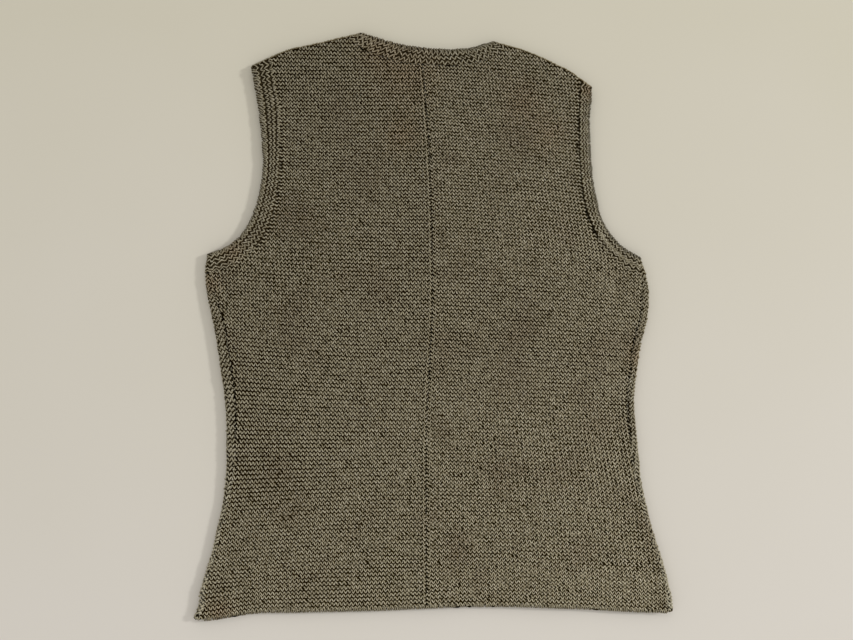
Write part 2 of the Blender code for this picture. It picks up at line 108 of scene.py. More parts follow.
SHOULDER_COLUMNS = ("x", "y")
SHOULDER_LEFT = (
    (-197.2, 277.3),
    (-188.5, 282.3),
    (-166.7, 292.6),
    (-155.8, 297.0),
    (-133.9, 302.1),
    (-112.0, 307.2),
    (-96.0, 311.2),
    (-80.2, 314.5),
)
SHOULDER_RIGHT = (
    (69.1, 304.9),
    (80.0, 302.4),
    (107.4, 293.4),
    (123.7, 286.0),
    (140.1, 277.9),
    (151.0, 272.0),
    (161.8, 263.8),
    (169.3, 258.0),
    (173.0, 254.9),
)

# Bands, from the shoulder down or from left to right: edge_x, edge_y, inner_x, inner_y
ARMHOLE_LEFT = (
    (-197.2, 277.3, -176.5, 288.2),
    (-193.6, 257.1, -171.7, 257.1),
    (-189.4, 234.8, -167.6, 234.8),
    (-186.4, 212.5, -165.7, 212.5),
    (-183.9, 190.3, -164.3, 190.3),
    (-182.8, 171.5, -164.0, 168.2),
    (-184.0, 151.6, -164.8, 148.3),
    (-187.3, 133.0, -167.8, 127.5),
    (-194.6, 110.0, -174.5, 101.2),
    (-206.1, 90.8, -187.5, 79.4),
    (-219.9, 79.0, -205.0, 64.8),
    (-229.5, 74.3, -222.0, 55.4),
    (-236.9, 71.8, -236.9, 50.3),
)
ARMHOLE_RIGHT = (
    (173.0, 254.9, 161.8, 263.8),
    (173.2, 242.6, 160.4, 242.6),
    (170.8, 218.0, 159.5, 218.0),
    (171.2, 195.8, 159.2, 195.8),
    (172.0, 173.7, 159.5, 173.7),
    (173.8, 151.6, 160.8, 151.6),
    (177.3, 129.7, 163.2, 129.7),
    (182.8, 107.8, 169.4, 108.0),
    (192.9, 91.0, 180.0, 85.0),
    (205.5, 77.5, 194.0, 68.5),
    (214.5, 71.2, 208.5, 57.0),
    (222.0, 67.4, 222.4, 50.3),
)
NECK_BACK = (
    (-80.2, 314.5, -96.0, 311.2),
    (-65.9, 311.1, -82.3, 300.9),
    (-46.2, 305.4, -59.3, 290.2),
    (-24.2, 300.4, -31.8, 282.4),
    (-2.3, 297.2, -2.3, 278.9),
    (19.7, 296.4, 25.1, 278.6),
    (41.6, 298.1, 52.5, 283.0),
    (58.1, 301.8, 71.5, 291.6),
    (69.1, 304.9, 85.0, 300.9),
)

# Soft folds of the back, each a ridge along a short line: x0, y0, x1, y1, reach to a side, height
FOLDS = (
    (-89.0, 252.0, 24.0, 196.0, 17.0, 2.4),
    (-143.0, 92.0, -141.0, -13.0, 46.0, 1.9),
    (-168.0, -140.0, -172.0, -262.0, 30.0, 2.2),
    (106.0, 152.0, 136.0, 36.0, 27.0, 1.7),
    (112.0, -112.0, 116.0, -286.0, 42.0, 1.7),
    (208.0, -305.0, 200.0, -262.0, 20.0, 1.4),
    (60.0, 40.0, 150.0, -34.0, 18.0, 0.9),
)

# Ridges along a band: from and to, as parts of its width from its free edge, and height
WIDE_RIDGES = ((0.0, 0.43, 0.9), (0.43, 0.84, 0.8))
NARROW_RIDGES = ((0.0, 0.46, 0.8), (0.46, 0.94, 0.9))
NECK_RIDGES = ((0.0, 0.42, 0.9), (0.42, 0.76, 0.7))

ROLL_STEPS = (1.0, 0.66, 0.33, 0.0, -0.33, -0.66, -1.0)  # quarters of the roll, from below to above

LEFT, RIGHT = -1, 1


def side_name(side):
    return "left" if side == LEFT else "right"


def column(table, names, name):
    """One named column of a table, in metres."""
    return np.array([row[names.index(name)] for row in table]) * MM


def smooth(t):
    t = np.clip(t, 0.0, 1.0)
    return t * t * (3 - 2 * t)


def curve(knots, values, at):
    """Smooth curve through the knots, with slopes taken from their neighbours."""
    slopes = np.gradient(values, knots, axis=0)
    at = np.clip(np.asarray(at, dtype=float), knots[0], knots[-1])
    i = np.clip(np.searchsorted(knots, at, side="right") - 1, 0, len(knots) - 2)
    step = knots[i + 1] - knots[i]
    t = (at - knots[i]) / step
    if values.ndim == 2:
        step = step[..., None]
        t = t[..., None]
    start = (1 + 2 * t) * (1 - t) ** 2 * values[i] + t * (1 - t) ** 2 * step * slopes[i]
    end = t * t * (3 - 2 * t) * values[i + 1] - t * t * (1 - t) * step * slopes[i + 1]
    return start + end


def along(points, at):
    """Smooth curve through points, read at parts of its length."""
    points = np.asarray(points, dtype=float)
    length = np.concatenate(([0.0], np.cumsum(np.linalg.norm(np.diff(points[:, :2], axis=0), axis=1))))
    return curve(length / length[-1], points, at)


# Outline

def side_x(side, y):
    """The outermost line of the rolled side."""
    return curve(column(SIDES, SIDE_COLUMNS, "y"), column(SIDES, SIDE_COLUMNS, side_name(side)), y)


def seam_inset(side, y):
    """How far the side seam lies inside the outline."""
    name = "seam_" + side_name(side)
    return curve(column(SIDES, SIDE_COLUMNS, "y"), column(SIDES, SIDE_COLUMNS, name), y)


def seam_x(side, y):
    return side_x(side, y) - side * seam_inset(side, y)


def middle_x(y):
    return curve(column(MIDDLE, MIDDLE_COLUMNS, "y"), column(MIDDLE, MIDDLE_COLUMNS, "x"), y)


def hem_y(x):
    return curve(column(HEM, HEM_COLUMNS, "x"), column(HEM, HEM_COLUMNS, "y"), x)


def shoulder_y(x):
    """Height in Y of the shoulder line, carried straight on past the neck points."""
    x = np.asarray(x, dtype=float)
    lx, ly = (column(SHOULDER_LEFT, SHOULDER_COLUMNS, n) for n in ("x", "y"))
    rx, ry = (column(SHOULDER_RIGHT, SHOULDER_COLUMNS, n) for n in ("x", "y"))
    left = curve(lx, ly, x) + PAST_NECK_SLOPE * np.maximum(0.0, x - lx[-1])
    right = curve(rx, ry, x) + PAST_NECK_SLOPE * np.maximum(0.0, rx[0] - x)
    return np.where(x < (lx[-1] + rx[0]) / 2, left, right)


# Height of the cloth

def distance_to_line(x, y, x0, y0, x1, y1):
    t = ((x - x0) * (x1 - x0) + (y - y0) * (y1 - y0)) / ((x1 - x0) ** 2 + (y1 - y0) ** 2)
    t = np.clip(t, 0.0, 1.0)
    return np.hypot(x - x0 - t * (x1 - x0), y - y0 - t * (y1 - y0))


def soft_folds(x, y):
    """Lift of the back over the front."""
    lift = REST_LIFT + np.zeros(np.shape(x))
    for x0, y0, x1, y1, reach, height in np.array(FOLDS) * MM:
        lift = lift + height * np.exp(-(distance_to_line(x, y, x0, y0, x1, y1) / reach) ** 2)
    off = x - middle_x(y)
    reach = np.where(off < 0, MIDDLE_LEFT, MIDDLE_RIGHT)
    return lift + MIDDLE_RIDGE * np.exp(-(off / reach) ** 2)


def side_distance(side, x, y):
    """Distance inside the rolled side, and from its top end where the armhole is open."""
    tip = UNDERARM + SIDE_TIP
    return np.hypot(side * (side_x(side, np.minimum(y, tip)) - x), np.maximum(0.0, y - tip))


def back_height(x, y):
    """Height of the back's middle: flat cloth with its folds, which rises to meet the rolls."""
    flat = smooth((shoulder_y(x) - y - QUARTER) / EASE)
    for side in (LEFT, RIGHT):
        flat = flat * smooth((side_distance(side, x, y) - QUARTER) / EASE)
    rise = ROLL_HEIGHT / 2 + BEND - BACK_HEIGHT
    return BACK_HEIGHT + flat * soft_folds(x, y) + (1 - flat) * rise


def roll(q):
    """Inset and height of the cloth's middle at a length q of cloth from mid-height, up or down."""
    turn = np.clip(q / BEND, -math.pi / 2, math.pi / 2)
    inset = WALL / 2 + BEND * (1 - np.cos(turn)) + np.maximum(0.0, np.abs(q) - QUARTER)
    return inset, ROLL_HEIGHT / 2 + BEND * np.sin(turn)


def place_back(x, y):
    """Middle of the upper layer. It rolls down to the shoulder seams."""
    line = shoulder_y(x)
    inset, height = roll(np.maximum(line - y, 0.0))
    on_roll = line - y < QUARTER
    return np.stack((x, line - inset, np.where(on_roll, height, back_height(x, line - inset))), -1)


def place_front(x, y):
    """Middle of the lower layer. It rolls up to the shoulders, and over each side to its seam."""
    line = shoulder_y(x)
    inset, z = roll(-np.maximum(line - y, 0.0))
    y = line - inset
    for side in (LEFT, RIGHT):
        edge = side_x(side, y)
        inside = side * (edge - x)
        inset, height = roll(-inside)
        near = (inside < QUARTER) & (y < UNDERARM + SIDE_TOP)
        moved = np.where(near, edge - side * inset, x)
        over = np.where(inside < -QUARTER, back_height(moved, y), height)
        z = np.where(near, over, z)
        x = moved
    return np.stack((x, y, z), -1)


def outward(place, x, y, sign):
    """Unit normals of a layer, pointing out of the garment."""
    e = 0.05 * MM
    across = place(x + e, y) - place(x - e, y)
    up = place(x, y + e) - place(x, y - e)
    normal = sign * np.cross(across, up)
    return normal / np.linalg.norm(normal, axis=-1, keepdims=True)


# Knit sizes

YARN = 0.0021  # thickness of the yarn
TUBE_SPREAD = 1.45  # a strand's faces reach this angle to each side of its top
YARN_HEIGHT = 0.00065  # middle of the yarn over the middle of its cloth
CLOTH_INSET = 0.0011  # the plain cloth under the yarn lies this far inside the solid
WAVE_UPPER = 0.37  # swing of a ridge's yarn at the shoulders, in ridge spacings
WAVE_LOWER = 0.41  # and near the hem
WAVE_CHANGE = (-0.2, 0.4)  # it changes from this height in Y on, over this length
FIRST_RIDGE = 0.75  # ridge spacings from the hem to the first ridge
LAST_RIDGE = 0.345  # height in Y up to which ridges are made, past the shoulders
HEM_MIDDLE = -0.005  # X at which the hem's height is read for them
HEM_FOLLOW = 0.05  # ridges follow the hem's line near it, and not any more this far above it
BESIDE_BAND = {LEFT: 0.0022, RIGHT: 0.0004}  # the ridges run on this far under an armhole band
BESIDE_NECK = 0.0020  # and this far under the neck band
OVER_SEAM = 0.001  # and this far over the middle seam and the side seams
OVER_SHOULDER = 0.0014  # and this far over the fold of the shoulder
SEAM_GAPS = {LEFT: 0.0011, RIGHT: 0.0009}  # by which they end earlier where a side seam is a dark line
SEAM_LINE_LOW = -0.17  # the dark line begins at this height in Y
SEAM_LINE_HIGH = 0.04  # and ends at this one
SEAM_LINE_FADES = (0.06, 0.03)  # it grows and shrinks over these lengths
SEAM_DIP = 0.0022  # the ridges run down by this much into the middle seam
SEAM_DIP_REACH = 0.0032  # over about this width to each side
SEAM_START = 0.0001  # the ridges begin this far from the middle seam
CALM_WIDTH = 0.007  # this near to an armhole band the yarn swings less and is thicker
CALM_SWING = 0.6  # share of its swing that it loses there
CALM_SWELL = 0.22  # share of its radius that it gains there
CREST_RISE = 0.0003  # halfway through its swing the yarn lies lower by twice this
CREST_SWELL = 0.1  # and is thinner by this share of its radius, and thicker at the ends
LEAN_RISE = 0.0002  # the half of a wave that shows more lies up to this much higher
LEAN_SWELL = 0.08  # and is thicker by up to this share of its radius
SINK_DEPTH = 0.0012  # the yarn goes down by this much at an edge of its cloth
SINK_WIDTH = 0.0016  # over this width
CORNER_LIFT = 0.0013  # the front's yarn lies this much higher at the corners of the hem
CORNER_TOP = -0.275  # below this height in Y
CORNER_FADE = 0.015  # fully so this much further down
STRIP_START = -0.006  # the finer yarn of a side strip begins this far past the outline, so inside it
FRONT_END = -0.005  # and the rest of the front's yarn ends here
HEM_LEVEL = -0.3  # height in Y at which the hem's two ends are read
HEM_LOOP_STEP = 0.002  # from one loop of the hem to the next
HEM_REACH = 0.27  # from the middle seam, past the last loop
HEM_END = 0.001  # they begin this far from the seam, and end this far before their reach
SHOULDER_INSET = 0.0019  # middle of the strand over a shoulder, inside the fold
SHOULDER_SWING = 0.0008  # and its swing to each side
CHAIN_STEP = 0.75  # a band's winding strands swing this many times for each stitch
LOOP_STEP = 0.8  # stitches from one loop of a band's edge to the next
MOST_LEAN = 1.3  # stitches that such a loop leans at most
NARROWING_FADE = (0.5, 0.3)  # a narrowing fades from this part of the length on, over this part
BAND_START = -0.005  # part of a band's length at which its strands begin
STITCHES = 68  # in a ridge, from the middle out past the widest place
FINE = 6  # points for each stitch, where the yarn shows
COARSE = 4  # and on the hidden side
LEAST_MARGIN = 0.0002  # yarn nearer than this to an edge is left out

# Unevenness of the ridges: how much each random value changes
PLACE_SPREAD = 0.035  # a wave's place along its ridge, in stitches
SWING_SPREAD = 0.10  # its swing, as a share
SLOW_SPREAD = 0.00009  # the ridge's height in Y, every three stitches
Y_SPREAD = 0.00016  # the yarn's place in Y, twice a stitch
X_SPREAD = 0.0002  # its place in X
HEIGHT_SPREAD = 0.00025  # its height
RADIUS_SPREAD = 0.12  # its radius, as a share

# Radius of the yarn elsewhere
HEM_LOOP_RADIUS = 0.00095
SHOULDER_RADIUS = 0.0015
LOOP_RADIUS = 0.00145
CHAIN_RADIUS = 0.00125

# Seeds of the random values, to which the side or a number is added
LOWER_SEED = 11
UPPER_SEED = 21
HEM_SEED = 31
SHOULDER_SEED = 35
FRONT_SEED = 41
FRONT_HEM_SEED = 51
BAND_SEED = 60

GAUGE_COLUMNS = ("y", "left_stitch", "left_ridge", "right_stitch", "right_ridge")
GAUGE = (
    (-263.0, 4.13, 4.04, 4.34, 3.97),
    (-222.0, 4.07, 4.14, 4.28, 4.00),
    (-180.0, 4.01, 4.14, 4.22, 3.99),
    (-138.0, 3.97, 4.09, 4.07, 3.95),
    (-96.0, 3.93, 4.14, 3.93, 4.00),
    (-11.0, 3.97, 4.13, 3.88, 4.04),
    (32.0, 4.02, 4.18, 3.91, 4.15),
    (75.0, 4.08, 4.13, 3.94, 3.97),
    (119.0, 4.03, 4.00, 3.84, 3.89),
    (163.0, 3.98, 4.02, 3.74, 3.86),
    (207.0, 3.93, 4.11, 3.75, 3.83),
    (252.0, 3.88, 4.38, 3.77, 4.02),
)

# Rise of a ridge at one and at two steps from the middle
DRIFT_STEP = 0.1
DRIFT_COLUMNS = ("y", "left_near", "left_far", "right_near", "right_far")
DRIFT = (
    (-263.0, -1.8, -6.6, -1.5, -5.5),
    (-180.0, -1.6, -6.5, -3.5, -7.0),
    (-138.0, 0.0, 0.0, -4.5, -9.0),
    (-54.0, 2.2, 8.8, -5.0, -10.0),
    (32.0, 2.2, 8.8, -5.0, -13.0),
    (119.0, 2.2, 8.0, -7.0, -19.0),
    (252.0, 0.0, 2.0, -7.0, -19.0),
)


def gauge(name, y):
    """Width of a stitch or spacing of the ridges at a height."""
    return curve(column(GAUGE, GAUGE_COLUMNS, "y"), column(GAUGE, GAUGE_COLUMNS, name), y)


def drift(side, x, y):
    """How far a ridge has risen at x, against its height y at the middle."""
    knots = column(DRIFT, DRIFT_COLUMNS, "y")
    near, far = (curve(knots, column(DRIFT, DRIFT_COLUMNS, side_name(side) + end), y)
                 for end in ("_near", "_far"))
    t = np.abs(x - middle_x(y)) / DRIFT_STEP
    bend = far / 2 - near
    hem = hem_y(middle_x(y))
    over_hem = smooth((y - hem) / HEM_FOLLOW)
    along_hem = hem_y(x) - hem
    return over_hem * ((near - bend) * t + bend * t * t) + (1 - over_hem) * along_hem


def ridge_heights(side):
    """Heights of the ridges at the middle, from the hem up past the shoulders."""
    fine = np.linspace(hem_y(HEM_MIDDLE), LAST_RIDGE, 1400)
    spacing = gauge(side_name(side) + "_ridge", fine[1:])
    count = np.concatenate(([0.0], np.cumsum(np.diff(fine) / spacing)))
    return np.interp(np.arange(FIRST_RIDGE, count[-1], 1.0), count, fine)


def armhole_seam_x(side, y):
    """The seam of a back armhole band."""
    table = np.array(ARMHOLE_LEFT if side == LEFT else ARMHOLE_RIGHT)[::-1] * MM
    return curve(table[:, 3], table[:, 2], y)


def neck_seam_y(x):
    """Height in Y of the back neck band's seam, and out of reach beside it."""
    table = np.array(NECK_BACK) * MM
    return np.where((x > table[0, 2]) & (x < table[-1, 2]), curve(table[:, 2], table[:, 3], x), 1.0)


def over_seam(side, y):
    """How far the ridges run on over the side seam: it is a dark line from the underarm to the waist."""
    grow, shrink = SEAM_LINE_FADES
    line = smooth((y - SEAM_LINE_LOW) / grow) * smooth((SEAM_LINE_HIGH - y) / shrink)
    return OVER_SEAM - SEAM_GAPS[side] * line


def back_margin(side, x, y):
    """Distance of a cloth point inside the edges of one back, a little more beside the bands."""
    by_side = side * (seam_x(side, y) - x) + over_seam(side, y)
    by_band = side * (armhole_seam_x(side, y) - x) + BESIDE_BAND[side]
    by_middle = side * (x - middle_x(y)) + OVER_SEAM
    by_shoulder = shoulder_y(x) - y + OVER_SHOULDER
    by_neck = neck_seam_y(x) - y + BESIDE_NECK
    return np.minimum.reduce((by_middle, np.where(y < UNDERARM, by_side, by_band), y - hem_y(x),
                              by_shoulder, by_neck))


def ragged(rng, rows, at, step):
    """Random values along each row, joined by straight lines, one per step."""
    values = rng.normal(size=(rows, int(at[-1] / step) + 2))
    i = np.floor(at / step).astype(int)
    part = at / step - i
    return values[:, i] * (1 - part) + values[:, i + 1] * part


def knit_rows(side, heights, per_stitch, seed, start, dip):
    """Cloth points, height and yarn radius along the ridges of one half, from its middle outwards.

    They start at a distance from the middle and run down into it by dip.
    """
    rng = np.random.default_rng(seed)
    at = np.arange(STITCHES * per_stitch + 1) / per_stitch
    rows = len(heights)
    base = heights[:, None] + 0 * at
    x = middle_x(base) + side * (start + gauge(side_name(side) + "_stitch", base) * at)
    y = base + drift(side, x, base)
    off = np.abs(x - middle_x(y))
    phase = 2 * math.pi * (at + PLACE_SPREAD * ragged(rng, rows, at, 1.5))
    from_y, over = WAVE_CHANGE
    wave = WAVE_LOWER + (WAVE_UPPER - WAVE_LOWER) * smooth((base - from_y) / over)
    swing = wave * gauge(side_name(side) + "_ridge", base)
    swing = swing * (1 + SWING_SPREAD * ragged(rng, rows, at, 1.0))
    inside = side * (armhole_seam_x(side, y) - x)
    calm = smooth((y - UNDERARM) / 0.01) * (1 - smooth(inside / CALM_WIDTH))
    swing = swing * (1 - CALM_SWING * calm)
    y = y + swing * np.cos(phase) - dip * np.exp(-(off / SEAM_DIP_REACH) ** 2)
    y = y + SLOW_SPREAD * ragged(rng, rows, at, 3.0) + Y_SPREAD * ragged(rng, rows, at, 0.5)
    x = x + X_SPREAD * ragged(rng, rows, at, 0.5)
    crest = np.cos(2 * phase)
    lean = side * np.sin(phase)
    height = YARN_HEIGHT + CREST_RISE * (crest - 1) + LEAN_RISE * lean
    height = height + HEIGHT_SPREAD * ragged(rng, rows, at, 0.5)
    radius = 1 + CREST_SWELL * crest + LEAN_SWELL * lean + RADIUS_SPREAD * ragged(rng, rows, at, 0.5)
    radius = YARN / 2 * radius * (1 + CALM_SWELL * calm)
    return x, y, height, radius


def sunk(height, margin):
    """Yarn height that goes down towards an edge."""
    return height - SINK_DEPTH * (1 - smooth(margin / SINK_WIDTH))


def knit(side, layer, heights, per_stitch, seed, start, dip, within):
    """Strands of the ridges of one half of a layer, where within says so."""
    x, y, height, radius = knit_rows(side, heights, per_stitch, seed, start, dip)
    margin = layer["margin"](side, x, y)
    if layer is FRONT:  # clear of the solid's flat faces at the corners of the hem
        height = height + CORNER_LIFT * smooth((CORNER_TOP - y) / CORNER_FADE)
    points, normals = laid(layer, x, y, sunk(height, margin))
    return points, normals, radius, (margin > LEAST_MARGIN) & within(side, x, y)


def front_margin(side, x, y):
    """Distance of a cloth point inside the edges of the front."""
    past = side * (x - side_x(side, y))
    body = seam_inset(side, y) - past + over_seam(side, y)
    yoke = side * (armhole_seam_x(side, y) - side * FRONT_INSET - x) + BESIDE_BAND[side]
    neck = front_neck(np.linspace(0.0, 1.0, 121))[:, 2:]
    neck_y = np.where((x > neck[0, 0]) & (x < neck[-1, 0]), np.interp(x, neck[:, 0], neck[:, 1]), 1.0)
    return np.minimum.reduce((np.where(y < UNDERARM, body, yoke), y - hem_y(x) - FRONT_INSET,
                              shoulder_y(x) - y, neck_y - y + BESIDE_NECK))


def on_strip(side, x, y):
    """The front's cloth that rolls up over the side."""
    return (side * (x - side_x(side, y)) > STRIP_START) & (y < UNDERARM)


def off_strip(side, x, y):
    """The rest of the front."""
    return (side * (x - side_x(side, y)) < FRONT_END) | (y > UNDERARM)


def everywhere(side, x, y):
    """All of a half."""
    return np.ones(x.shape, dtype=bool)


def hem_loops(side, layer, inset, reach, seed):
    """Short upright strands along the cast-on edge, two for each stitch, bent under at the edge.

    They lie inset inside the hem's line, and end where reach says, past the outline or inside it.
    """
    rng = np.random.default_rng(seed)
    x = side * np.arange(HEM_END, HEM_REACH, HEM_LOOP_STEP) + middle_x(HEM_LEVEL)
    x = x[side * (x - side_x(side, HEM_LEVEL)) < reach - HEM_END]
    x = x[:, None] + rng.normal(size=(len(x), 1)) * 0.2 * MM
    # from the inner end of a loop to its end under the edge
    rise = np.array((3.0, 2.2, 1.3, 0.5, 0.1, 0.05)) * MM + 0 * x
    lean = np.array((0.4, 0.3, 0.15, 0.0, 0.0, 0.0)) * MM * rng.normal(size=x.shape)
    height = np.array((-0.5, 0.1, 0.5, 0.3, -0.7, -1.8)) * MM + 0 * x
    radius = HEM_LOOP_RADIUS * (1 + 0.1 * rng.normal(size=x.shape)) + 0 * rise
    x = x + lean
    y = hem_y(x) + inset - 0.5 * MM + rise * (1 + 0.12 * rng.normal(size=(len(x), 1)))
    points, normals = laid(layer, x, y, YARN_HEIGHT + height)
    return points, normals, radius, np.ones(x.shape, dtype=bool)


def shoulder_edge(side, layer, seed):
    """A winding strand along the fold of a shoulder, over the ends of the ridges."""
    rng = np.random.default_rng(seed)
    number = 180  # points, three for each wave
    at = np.arange(number)[None, :] / 3
    neck = (NECK_BACK[0] if side == LEFT else NECK_BACK[-1])[0] * MM
    x = np.linspace(neck, armhole_table(side, False)[-1, 0], number)[None, :]
    y = shoulder_y(x) - SHOULDER_INSET + SHOULDER_SWING * np.cos(2 * math.pi * at)
    points, normals = laid(layer, x, y, 0.9 * MM + 0.2 * MM * ragged(rng, 1, at[0], 0.5))
    radius = SHOULDER_RADIUS * (1 + 0.1 * ragged(rng, 1, at[0], 0.5))
    return points, normals, radius, np.ones(x.shape, dtype=bool)


# Bands

def ridge_relief(part, ridges):
    """Height of a band's ridges at a part of its width."""
    height = np.zeros(np.shape(part))
    for start, end, top in ridges:
        t = np.clip((part - start) / (end - start), 0.0, 1.0)
        height = np.maximum(height, top * MM * np.sin(t * math.pi) ** 0.8)
    return height


def armhole_table(side, front):
    """Free edge and seam of an armhole band, from the underarm up to the shoulder."""
    table = np.array(ARMHOLE_LEFT if side == LEFT else ARMHOLE_RIGHT)[::-1] * MM
    if front:
        table[:, [0, 2]] -= side * FRONT_INSET
        start = side_x(side, UNDERARM) - side * QUARTER
        table[0] = (start, table[0, 1] - TAIL_DROP, start, UNDERARM)
        table = np.vstack((band_tail(side, armhole_table(side, False)[0, 1]), table))
    return table


def band_tail(side, tip_y):
    """Stations of a front armhole band that go round the rolled side, from the side seam."""
    rows = []
    for step in (None,) + ROLL_STEPS[:0:-1]:
        both = []
        for y in (tip_y, UNDERARM + GAP):
            past = seam_inset(side, y) - GAP / 2 if step is None else -step * QUARTER
            both += [side_x(side, y) + side * past, y]
        rows.append(both)
    rows = np.array(rows)
    dip = np.array((0.0,) + tuple(math.cos(step * math.pi / 3) for step in ROLL_STEPS[:0:-1]))
    rows[:, 1] -= TAIL_DIP * dip
    return rows


def front_neck(at):
    """Free edge and seam of the front neck band: a scoop between the shoulder points."""
    part = np.asarray(at)[:, None]
    ends = np.array((NECK_BACK[0], NECK_BACK[-1])) * MM
    lines = []
    for edge, width in ((0, 0.0), (2, NECK_BAND)):
        left, right = ends[0, edge: edge + 2], ends[1, edge: edge + 2]
        drop = (FRONT_NECK_DROP + width) * (1 - np.abs(2 * part - 1) ** FRONT_NECK_ROUNDNESS)
        lines.append(left * (1 - part) + right * part - drop * np.array((0.0, 1.0)))
    return np.hstack(lines)


def band_cloth(rails, at, part):
    """Cloth points at a part of a band's length, and a part of its width from the free edge."""
    both = along(rails, at)
    x = both[..., 0] * (1 - part) + both[..., 2] * part
    y = both[..., 1] * (1 - part) + both[..., 3] * part
    return x, y


def band_strand(layer, rails, at, part, height, radius, ridges, narrowing):
    """Strands in a band. Away from the shoulder they draw towards its free edge, by narrowing.

    A strand that starts before the band's end goes on straight, out past the side seam.
    """
    start, length = NARROWING_FADE
    part = part * (1 - narrowing * (1 - smooth((at - start) / length)))
    x, y = band_cloth(rails, np.clip(at, 0.0, 1.0), part)
    short = 0.01  # part of the band's length that gives its direction at the start
    next_x, next_y = band_cloth(rails, 0 * at + short, part)
    first_x, first_y = band_cloth(rails, 0 * at, part)
    past = np.minimum(at, 0.0) / short
    x, y = x + past * (next_x - first_x), y + past * (next_y - first_y)
    margin = shoulder_y(x) - y
    height = YARN_HEIGHT + height + ridge_relief(part, ridges)
    points, normals = laid(layer, x, y, sunk(height, margin))
    return points, normals, radius, (margin > LEAST_MARGIN) & (at > BAND_START) & (at < 1.0)


def band_loops(seed, layer, rails, stitches, ridges, narrowing, reach, slant):
    """Slanting strands side by side across the outer part of a band, bent down over its free edge."""
    rng = np.random.default_rng(seed)
    # from the inner end of a loop to its end under the free edge
    part = reach * np.array((1.0, 0.78, 0.52, 0.26, 0.09, 0.07))
    depth = np.array((-0.7, 0.1, 0.25, 0.0, -0.9, -2.1)) * MM
    number = np.arange(-1.0, stitches / LOOP_STEP + 2)
    first = LOOP_STEP * number[:, None] + 0.07 * rng.normal(size=(len(number), 1))
    lean = slant + 0.12 * rng.normal(size=first.shape) + 0.25 * ragged(rng, 1, number + 1, 3.0).T
    at = first + np.clip(lean, -MOST_LEAN, MOST_LEAN) * part / reach
    part = part + 0 * at
    height = depth + 0.12 * MM * rng.normal(size=at.shape)
    radius = LOOP_RADIUS * (1 + 0.15 * rng.normal(size=first.shape)) + 0 * at
    return band_strand(layer, rails, at / stitches, part, height, radius, ridges, narrowing)


def band_chain(seed, layer, rails, stitches, ridges, narrowing, middle, swing, turn, end=1.0):
    """A strand that winds to and fro along a band, as far as a part of its length."""
    rng = np.random.default_rng(seed)
    stitches = int(stitches * CHAIN_STEP)
    at = np.arange(-2, stitches * FINE + 1)[None, :] / FINE
    phase = 2 * math.pi * (at + 0.08 * ragged(rng, 1, at[0], 1.0)) * turn
    wave = np.cos(phase) + 0.3 * np.sin(2 * phase)
    part = middle + swing * (1 + 0.2 * ragged(rng, 1, at[0], 1.0)) * wave
    height = 0.15 * MM * np.cos(2 * phase) + 0.25 * MM * ragged(rng, 1, at[0], 0.5)
    radius = CHAIN_RADIUS * (1 + 0.15 * ragged(rng, 1, at[0], 0.5))
    strand = band_strand(layer, rails, at / stitches, part, height, radius, ridges, narrowing)
    points, normals, radius, keep = strand
    return points, normals, radius, keep & (at <= end * stitches)


# Meshes

def laid(layer, x, y, height):
    """Cloth points at a height over the middle of their layer, and the cloth's outward normals."""
    y = np.minimum(y, shoulder_y(x) - 0.1 * MM)
    normal = outward(layer["place"], x, y, layer["sign"])
    return layer["place"](x, y) - np.array(CENTRE + (0.0,)) + normal * height[..., None], normal


BACK = {"place": place_back, "sign": 1, "margin": back_margin}
FRONT = {"place": place_front, "sign": -1, "margin": front_margin}


def add_piece(name, mesh, material):
    """Puts a finished mesh into the scene."""
    mesh.shade_smooth()
    mesh.materials.append(material)
    piece = bpy.data.objects.new(name, mesh)
    bpy.context.scene.collection.objects.link(piece)
    return piece


ROW_SHIFT = 37.0  # millimetres by which the fibres of each row start later than those before


def tube(points, normals, radius, keep, faces, painted_side_shade):
    """Open-backed tube along each row of points, where keep says so, none of it below the floor.

    The UV map holds millimetres along the yarn, and the place from one side of it to the other.
    """
    points[..., 2] = np.maximum(points[..., 2], radius)
    run = np.gradient(points, axis=1)
    run /= np.linalg.norm(run, axis=-1, keepdims=True)
    across = np.cross(normals, run)
    across /= np.linalg.norm(across, axis=-1, keepdims=True)
    up = np.cross(run, across)
    turn = np.linspace(-TUBE_SPREAD, TUBE_SPREAD, faces + 1)[:, None]
    ring = np.cos(turn) * up[..., None, :] + np.sin(turn) * across[..., None, :]
    ring = points[..., None, :] + radius[..., None, None] * ring
    joined = keep[:, :-1] & keep[:, 1:]
    used = np.zeros(keep.shape, dtype=bool)
    used[:, :-1] |= joined
    used[:, 1:] |= joined
    index = np.zeros(keep.shape, dtype=int)
    index[used] = np.arange(used.sum()) * (faces + 1)
    start, end = index[:, :-1][joined], index[:, 1:][joined]
    quads = np.concatenate([np.stack((start + k, end + k, end + k + 1, start + k + 1), -1)
                            for k in range(faces)])
    length = np.zeros(keep.shape)
    length[:, 1:] = np.cumsum(np.linalg.norm(np.diff(points, axis=1), axis=-1), axis=1) / MM
    length = length + ROW_SHIFT * np.arange(len(length))[:, None]
    # how far each face reaches into the painted side shade
    side = 0.5 + painted_side_shade * np.linspace(-0.5, 0.5, faces + 1)
    uv = np.stack(np.broadcast_arrays(length[..., None], side), -1)
    return ring[used].reshape(-1, 3), quads, uv[used].reshape(-1, 2)


def yarn_piece(name, strands, material, faces, painted_side_shade):
    """One piece of yarn. Painted side shade is how dark its sides are painted, as shade, from 0 to 1."""
    points, quads, uv = tube(*strands, faces, painted_side_shade)
    mesh = bpy.data.meshes.new(name)
    mesh.from_pydata(points, [], quads)
    layer = mesh.uv_layers.new(name="yarn")
    layer.data.foreach_set("uv", uv[quads.ravel()].astype(np.float32).ravel())
    return add_piece(name, mesh, material)


